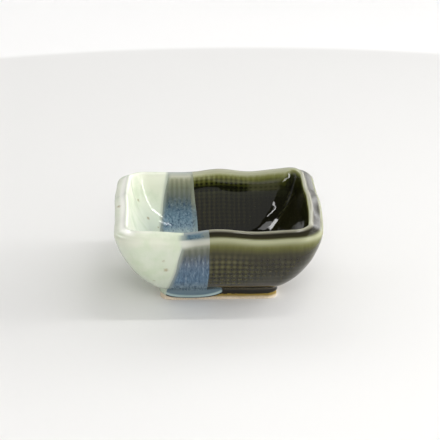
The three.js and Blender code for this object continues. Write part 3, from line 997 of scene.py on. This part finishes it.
# Pale glaze: milky white with a green cast where it gathers, and a few iron spots; its lighter stop just
# inside the lip's inner edge is partly painted highlight
paleLook = {
    "bands": [
        (-28, (206, 213, 192)), (-22, (213, 224, 209)), (-6, (230, 234, 214)), (-1.5, (244, 246, 228)),
        (0.3, (231, 234, 218)), (1.5, (224, 229, 209)), (3.8, (217, 221, 201)), (5.2, (216, 219, 201)),
        (9, (210, 217, 199)), (20, (212, 219, 200)), (33, (208, 217, 200)), (38, (188, 200, 180)),
        (39.5, (184, 195, 173)),
    ],
    "gathered": (188, 206, 172), "gatheredShare": 0.48, "cloudScale": 0.1, "cloudFrom": (0.45, 0.7),
    "runs": (0.6, 0.1, 3.0), "runsShown": (-1.0, 6.0, 0.1, 0.8),
    "swellScale": 0.15, "bump": (0.08, 0.0004),
    "iron": (150, 132, 84), "ironShare": 0.65,

    # the left lip: painted light on its face, and painted shade on the turn from the face down into the well
    "lipFace": (254, 254, 244), "lipFaceSpan": ((0.1, 0.7), (3.6, 1.6)), "lipFaceSide": (-31.0, -34.5),
    "lipEdge": (223, 226, 209), "lipEdgeSpan": ((-7.0, -2.5), (0.5, 0.1)), "lipEdgeSide": (-31.0, -34.0),
    "lipShare": 0.85,

    # the border towards the blue
    "edge": (168, 176, 164), "edgeFrom": (-1.2, 0.3, 0.0, 0.75),
    "frontSpan": ((0.6, 1.6), (7.0, 4.6)), "softFrom": (-2.8, 0.2),

    # the left wall is less glossy than the corner behind it
    "satinSide": (-24.0, -28.0), "satinBefore": (26.0, 23.0), "satinBelow": (0.0, -1.0),
}

# Iron spots: centre and radius in millimetres
ironSpots = [
    ((-31.1, 27.4, 23.0), 1.0), ((-31.6, 26.2, 24.2), 0.7), ((-27.1, 24.0, 16.5), 1.1),
    ((-23.1, 22.6, 13.0), 0.7), ((-38.2, -5.3, 32.6), 1.5), ((-21.4, -37.0, 22.4), 1.0),
    ((-20.4, -35.0, 17.6), 1.5), ((-25.0, -31.0, 11.5), 0.8),
]


def makePaleGlaze():
    look = paleLook
    material, tree, shader = newMaterial("paleGlaze", IOR=1.5)
    position, cloth, x, y, _, fromLip = glazePlaces(tree)
    cloud = between(tree, noiseAt(tree, position, look["cloudScale"], 4.0), *look["cloudFrom"])
    runs = glazeRuns(tree, cloth, *look["runs"])
    streaks = swingOf(tree, runs, between(tree, fromLip, *look["runsShown"]))
    gathered = times(tree, calc(tree, "ADD", cloud, streaks, clamp=True), look["gatheredShare"])
    colour = paint(tree, gathered, colourRamp(tree, fromLip, look["bands"]), look["gathered"])
    for centre, radius in ironSpots:
        mask = useGroup(tree, groups["spot"], {"Position": position, "Centre": centre, "Radius": radius})[0]
        colour = paint(tree, times(tree, mask, look["ironShare"]), colour, look["iron"])
    # painted light on the left lip's face and painted shade on its turn down into the well
    for part in ("lipFace", "lipEdge"):
        mask = times(tree, span(tree, fromLip, *look[part + "Span"]), between(tree, x, *look[part + "Side"]))
        colour = paint(tree, times(tree, mask, look["lipShare"]), colour, look[part])
    toBlue = dipEdge(tree, position, paleDip)
    colour = paint(tree, between(tree, toBlue, *look["edgeFrom"]), colour, look["edge"])
    front = times(tree, span(tree, fromLip, *look["frontSpan"]), between(tree, y, *glazeZones["frontSide"]))
    soft = times(tree, between(tree, toBlue, *look["softFrom"]), front)
    colour = blend(tree, soft, colour, frontLipEdge(tree, fromLip))
    tree.links.new(colour, shader.inputs["Base Color"])
    satin = times(
        tree, between(tree, x, *look["satinSide"]), between(tree, y, *look["satinBefore"]),
        between(tree, fromLip, *look["satinBelow"]),
    )
    lipRoughness(tree, shader, x, fromLip, satin)
    surfaceBump(tree, shader, noiseAt(tree, position, look["swellScale"], 2.0), *look["bump"])
    return material


# Bare clay: sandy grey with a flash of ochre just under the glaze, stronger on the green side
clayLook = {
    "sand": (226, 211, 189), "dark": (200, 184, 162), "ochre": (140, 118, 52),
    "grainScale": 2.2, "grainFrom": (0.35, 0.7), "cloudScale": 0.12, "cloudRise": 0.6,
    "flashFrom": (0.75, 2.15), "flashSide": (-2.0, 4.0, 0.15, 1.0), "bump": (0.6, 0.0003),
}


def makeBareClay():
    look = clayLook
    material, tree, shader = newMaterial("bareClay", Roughness=0.85, IOR=1.45)
    position = inMillimetres(tree)
    grain = noiseAt(tree, position, look["grainScale"], 5.0, 0.7)
    cloud = noiseAt(tree, position, look["cloudScale"], 2.0)
    colour = blend(tree, between(tree, grain, *look["grainFrom"]), rgb(*look["sand"]), rgb(*look["dark"]))
    height = addNode(tree, "ShaderNodeSeparateXYZ", {0: position}).outputs[2]
    height = calc(tree, "ADD", height, times(tree, cloud, look["cloudRise"]))
    flash = between(tree, height, *look["flashFrom"])
    side = between(tree, dipEdge(tree, position, greenDip), *look["flashSide"])
    colour = paint(tree, times(tree, flash, side), colour, look["ochre"])
    tree.links.new(colour, shader.inputs["Base Color"])
    surfaceBump(tree, shader, grain, *look["bump"])
    return material


materials = {
    "green": makeGreenGlaze(),
    "blue": makeBlueGlaze(),
    "pale": makePaleGlaze(),
    "clay": makeBareClay(),
}
print("materials made")


# Pieces

def finishPiece(piece, material, node):
    piece.data.materials.clear()
    piece.data.materials.append(materials[material])
    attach(piece, "root")
    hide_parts(node)


skin = buildSkin()
pale = glazePiece("paleGlaze", skin, [(paleDip, False)])
blue = glazePiece("blueGlaze", skin, [(paleDip, True), (greenDip, False)])
green = glazePiece("greenGlaze", skin, [(greenDip, True)])
finishPiece(pale, "pale", "pale_glaze")
finishPiece(blue, "blue", "blue_glaze")
finishPiece(green, "green", "green_glaze")


# Steps and sizes of the two clay pieces in millimetres: shrink keeps the bowl under the glaze
clayParts = {
    "straight": 24, "corner": 12, "ring": 1.0, "shrink": 0.06, "underside": 30, "undersideScrape": 0.03,
    "footStraight": 40, "footCorner": 10, "footEdge": 0.35, "footScrape": 0.04, "footRings": 14,
    "footInnerCorner": 0.4,     # corner radius inside the foot, as a share of the one outside
}


# Hand-scraped clay: a slow roll and a fine grit along the surface
def scraped(points, amount):
    normals = surfaceNormals(points)
    x, y, z = points[..., 0], points[..., 1], points[..., 2]
    roll = np.sin(0.9 * x + 0.4 * z) * np.sin(0.8 * y - 0.5 * z) + 0.5 * np.sin(2.3 * x - 1.9 * y + 2.7 * z)
    return points + normals * (roll * amount)[..., None]


def buildClayBowl():
    places = quarterPlaces(clayParts["straight"], clayParts["corner"])
    rings, _ = resample(thickened(glazedProfile(), -clayParts["shrink"]), clayParts["ring"])
    rings = rings[rings[:, 2] > dish["footHeight"] - 0.01]
    shares = np.linspace(0.97, 0.03, clayParts["underside"])
    footTop = footRing(dish["footHeight"])
    underside = [[footTop[0] * s, footTop[1] * s, footTop[2], 0] for s in shares]
    points = ringPoints(np.concatenate([rings, underside]), places)
    points[len(rings):] = scraped(points[len(rings):], clayParts["undersideScrape"])
    rows, columns = points.shape[:2]
    middles = [[0, 0, rings[0, 2]], [0, 0, dish["footHeight"]]]
    flat = np.concatenate([points.reshape(-1, 3), middles]) * mm
    faces = gridFaces(rows, columns)
    last = (rows - 1) * columns
    for j in range(columns):
        k = (j + 1) % columns
        faces.append((rows * columns, j, k))
        faces.append((rows * columns + 1, last + k, last + j))
    return meshObject("clayBowl", flat, faces)


def buildFootRing():
    places = quarterPlaces(clayParts["footStraight"], clayParts["footCorner"])
    edge = clayParts["footEdge"]
    top = dish["footHeight"]
    inner = dish["footHalfWidth"] - dish["footWallThickness"]
    outline = [(inner, top), (dish["footHalfWidth"] - 0.02, top)]
    outline += [(footRing(h)[0], h) for h in np.linspace(top - 0.3, edge, clayParts["footRings"])]
    bottom = footRing(0)[0]
    for angle in np.linspace(15, 90, 5):
        turn = math.radians(angle)
        outline.append((bottom - edge * (1 - math.cos(turn)), edge * (1 - math.sin(turn))))
    outline += [(w, 0) for w in np.linspace(bottom - 2 * edge, inner + 2 * edge, 6)]
    for angle in np.linspace(0, 75, 5):
        turn = math.radians(angle)
        outline.append((inner + edge * (1 - math.sin(turn)), edge * (1 - math.cos(turn))))
    outline += [(inner, h) for h in np.linspace(edge, top - 0.3, 8)]
    innerCorner = clayParts["footInnerCorner"]
    corners = [dish["footCornerRadius"] * (1 if w > inner + 1 else innerCorner) for w, h in outline]
    rings = np.array([[w, corner, h, 0] for (w, h), corner in zip(outline, corners)])
    points = ringPoints(rings, places)
    wall = (points[..., 2] > 0.2) & (points[..., 2] < top - 0.2)
    points = np.where(wall[..., None], scraped(points, clayParts["footScrape"]), points)
    rows, columns = points.shape[:2]
    faces = gridFaces(rows, columns)
    last = (rows - 1) * columns
    faces += [(last + j, j, (j + 1) % columns, last + (j + 1) % columns) for j in range(columns)]
    return meshObject("footRing", points.reshape(-1, 3) * mm, faces)


finishPiece(buildClayBowl(), "clay", "clay_bowl")
finishPiece(buildFootRing(), "clay", "foot_ring")
print("clay pieces made")


# Studio: a round sheet of paper on a paler one that rises all round. Soft panels and an arch of
# lamps light the dish and stay out of the glaze, which mirrors the world and lights of its own.

studio = {
    "sheet": (235, 234, 232), "surround": (253, 252, 251), "sheetCentre": (0.013, -0.12, 0.0),
    "sheetRadius": 0.456, "sheetBlur": 0.004,
    "flatRadius": 1.5, "rimRadius": 0.35, "rimSteps": 12, "rimTurn": 80, "aroundSteps": 96,

    # the world: its level behind the dish and elsewhere, a window, and a soft glow for the glaze alone
    "behind": 1.03, "behindFrom": (-0.1, 0.4), "behindBelow": (0.6, 0.45),
    "elsewhere": 0.147, "elsewhereMirrored": 0.05,
    "window": 3.8, "windowMirrored": 0.3, "windowAzimuth": 60, "windowSide": (0.7, 0.85),
    "windowBelow": (0.5, 0.38),
    "glowTowards": (24, 10), "glowReach": (0.945, 0.985, 0.0, 1.7),
}

# Soft panels that light the dish and stay out of the glaze: azimuth from the back towards the
# right, height angle, distance, width and height, power
panels = {
    "lowRight": (92, 9, 1.0, (0.3, 0.3), 2.9),
    "rightMid": (90, 25, 1.0, (0.4, 0.4), 1.2),
    "rightFront": (130, 35, 1.0, (0.5, 0.5), 0.8),
    "backFill": (0, 40, 1.0, (0.7, 0.5), 1.8),
    "backLeft": (320, 30, 1.0, (0.5, 0.5), 0.7),
    "backRight": (45, 65, 1.0, (0.6, 0.6), 0.3),
    "leftFill": (248, 20, 1.0, (0.7, 0.5), 0.9),
    "frontRight": (140, 14, 1.0, (0.5, 0.4), 1.65),
    "frontMid": (180, 32, 1.0, (0.5, 0.4), 2.5),
    "frontHigh": (165, 48, 1.0, (0.8, 0.8), 1.15),
}
arch = {"from": 4, "to": 84, "parts": 6, "distance": 0.75, "width": 0.02, "powers": (0.12, 0.35)}

# Lights at one metre that the glaze mirrors and that light nothing else: both ends as azimuth and
# height angle, width, radiance
catchLights = {
    "cornerLow": ((134, 2), (104, 48), 0.075, 18),
    "cornerHigh": ((104, 50), (140, 63), 0.065, 18),
    "cornerEnd": ((78, 58), (155, 72), 0.04, 10),
    "hookSide": ((219, 7), (232, 12), 0.05, 16),
    "hookTop": ((232, 12), (195, 15), 0.032, 12),
    "hookLow": ((192, 45), (246, 57), 0.035, 12),
    "hookLowEnd": ((248, 57), (228, 66), 0.05, 16),
    "wedge": ((319, 30), (300, 54), 0.17, 12),
    "wedgeGrey": ((303, 56), (276, 73), 0.2, 3),
    "lipCrest": ((12, 52), (38, 43), 0.05, 5),
    "frontPanel": ((149, 49.5), (195, 49.5), 1.3, 0.56),
}
lampAim = Vector((0, 0, 0.02))


def buildFloor():
    rimRadius = studio["rimRadius"]
    profile = [(r, 0.0) for r in (0.5, 1.0, studio["flatRadius"])]
    for angle in np.linspace(0, studio["rimTurn"], studio["rimSteps"])[1:]:
        turn = math.radians(angle)
        out = studio["flatRadius"] + rimRadius * math.sin(turn)
        profile.append((out, rimRadius * (1 - math.cos(turn))))
    around = studio["aroundSteps"]
    turns = np.arange(around) * 2 * math.pi / around
    points = [(r * math.cos(t), r * math.sin(t), z) for r, z in profile for t in turns]
    faces = gridFaces(len(profile), around)
    points.append((0, 0, 0))
    faces += [(len(points) - 1, j, (j + 1) % around) for j in range(around)]
    floor = meshObject("floor", points, faces)
    material, tree, shader = newMaterial("floorPaper", Roughness=0.9, IOR=1.3)
    both = {0: addNode(tree, "ShaderNodeTexCoord").outputs["Object"], 1: studio["sheetCentre"]}
    reach = addNode(tree, "ShaderNodeVectorMath", both, operation="DISTANCE").outputs["Value"]
    radius, blur = studio["sheetRadius"], studio["sheetBlur"]
    edge = between(tree, reach, radius - blur, radius + blur)
    colour = blend(tree, edge, rgb(*studio["sheet"]), rgb(*studio["surround"]))
    tree.links.new(colour, shader.inputs["Base Color"])
    floor.data.materials.append(material)


def towards(azimuth, elevation):
    az, el = math.radians(azimuth), math.radians(elevation)
    return Vector((math.sin(az) * math.cos(el), math.cos(az) * math.cos(el), math.sin(el)))


def buildWorld():
    world = bpy.data.worlds.new("studio")
    bpy.context.scene.world = world
    world.use_nodes = True
    tree = world.node_tree
    direction = addNode(tree, "ShaderNodeTexCoord").outputs["Generated"]
    y, z = addNode(tree, "ShaderNodeSeparateXYZ", {0: direction}).outputs[1:3]
    mirrored = addNode(tree, "ShaderNodeLightPath").outputs["Is Glossy Ray"]
    elsewhere = between(tree, mirrored, 0.0, 1.0, studio["elsewhere"], studio["elsewhereMirrored"])
    behind = times(tree, between(tree, y, *studio["behindFrom"]), between(tree, z, *studio["behindBelow"]))
    level = times(tree, behind, calc(tree, "SUBTRACT", studio["behind"], elsewhere))
    level = calc(tree, "ADD", level, elsewhere)
    both = {0: direction, 1: towards(studio["windowAzimuth"], 0)}
    window = addNode(tree, "ShaderNodeVectorMath", both, operation="DOT_PRODUCT").outputs["Value"]
    window = times(
        tree, between(tree, window, *studio["windowSide"]), between(tree, z, *studio["windowBelow"]),
        between(tree, mirrored, 0.0, 1.0, 1.0, studio["windowMirrored"]), studio["window"],
    )
    both = {0: direction, 1: towards(*studio["glowTowards"])}
    glow = addNode(tree, "ShaderNodeVectorMath", both, operation="DOT_PRODUCT").outputs["Value"]
    glow = times(tree, between(tree, glow, *studio["glowReach"]), mirrored)
    level = calc(tree, "ADD", calc(tree, "ADD", level, window), glow)
    tree.nodes["Background"].inputs["Color"].default_value = (1.0, 1.0, 1.0, 1.0)
    tree.links.new(level, tree.nodes["Background"].inputs["Strength"])


# An area lamp facing the dish; its width runs along the given direction
def softbox(name, outward, distance, size, power, across):
    light = bpy.data.lights.new(name, "AREA")
    light.shape = "RECTANGLE"
    light.size, light.size_y = size
    light.energy = power
    width = (across - outward * outward.dot(across)).normalized()
    lamp = bpy.data.objects.new(name, light)
    lamp.matrix_world = Matrix((width, outward.cross(width), outward)).transposed().to_4x4()
    lamp.location = outward * distance + lampAim
    lamp.visible_camera = False
    bpy.context.scene.collection.objects.link(lamp)
    return lamp


# Keeps a lamp out of light that the glaze throws on from wall to wall
def mirroredOnly(lamp):
    lamp.visible_diffuse = False
    lamp.data.use_nodes = True
    tree = lamp.data.node_tree
    depth = addNode(tree, "ShaderNodeLightPath").outputs["Diffuse Depth"]
    tree.links.new(calc(tree, "LESS_THAN", depth, 0.5), tree.nodes["Emission"].inputs["Strength"])


def buildLights():
    for name, (azimuth, elevation, distance, size, power) in panels.items():
        across = towards(azimuth + 90, 0)
        lamp = softbox(name, towards(azimuth, elevation), distance, size, power, across)
        lamp.visible_glossy = False
    part = (arch["to"] - arch["from"]) / arch["parts"]
    length = 2 * arch["distance"] * math.tan(math.radians(part / 2))
    for i in range(arch["parts"]):
        outward = towards(90, arch["from"] + (i + 0.5) * part)
        power = arch["powers"][2 * i // arch["parts"]]
        size = (arch["width"], length)
        lamp = softbox("arch" + str(i + 1), outward, arch["distance"], size, power, Vector((0, 1, 0)))
        lamp.visible_glossy = False
    for name, (start, end, width, radiance) in catchLights.items():
        first, last = towards(*start), towards(*end)
        length = 2 * math.tan(first.angle(last) / 2)
        power = radiance * math.pi * length * width
        lamp = softbox(name, (first + last).normalized(), 1.0, (length, width), power, last - first)
        mirroredOnly(lamp)


buildFloor()
buildWorld()
buildLights()
print("studio made")


# Camera, placed where the photograph was taken from: angles in degrees, distances in metres
view = {
    "elevation": 20.2, "turn": 1.9, "distance": 0.779, "fieldOfView": 12.65,
    "right": 0.0012, "down": 0.0062, "aboveLip": 0.00015,
}


def buildCamera():
    up = math.radians(view["elevation"])
    turn = math.radians(view["turn"])
    forward = Vector((math.sin(turn) * math.cos(up), math.cos(turn) * math.cos(up), -math.sin(up)))
    right = Vector((math.cos(turn), -math.sin(turn), 0))
    above = right.cross(forward)
    lipCentre = Vector((0, 0, dish["lipHeight"] * mm + view["aboveLip"]))
    aim = lipCentre + right * view["right"] - above * view["down"]
    camera = bpy.data.cameras.new("camera")
    camera.angle = math.radians(view["fieldOfView"])
    holder = bpy.data.objects.new("camera", camera)
    holder.location = lipCentre - forward * view["distance"]
    holder.rotation_euler = (aim - holder.location).to_track_quat("-Z", "Y").to_euler()
    bpy.context.scene.collection.objects.link(holder)
    bpy.context.scene.camera = holder


buildCamera()
bpy.context.scene.view_settings.view_transform = "Standard"
print("camera set")
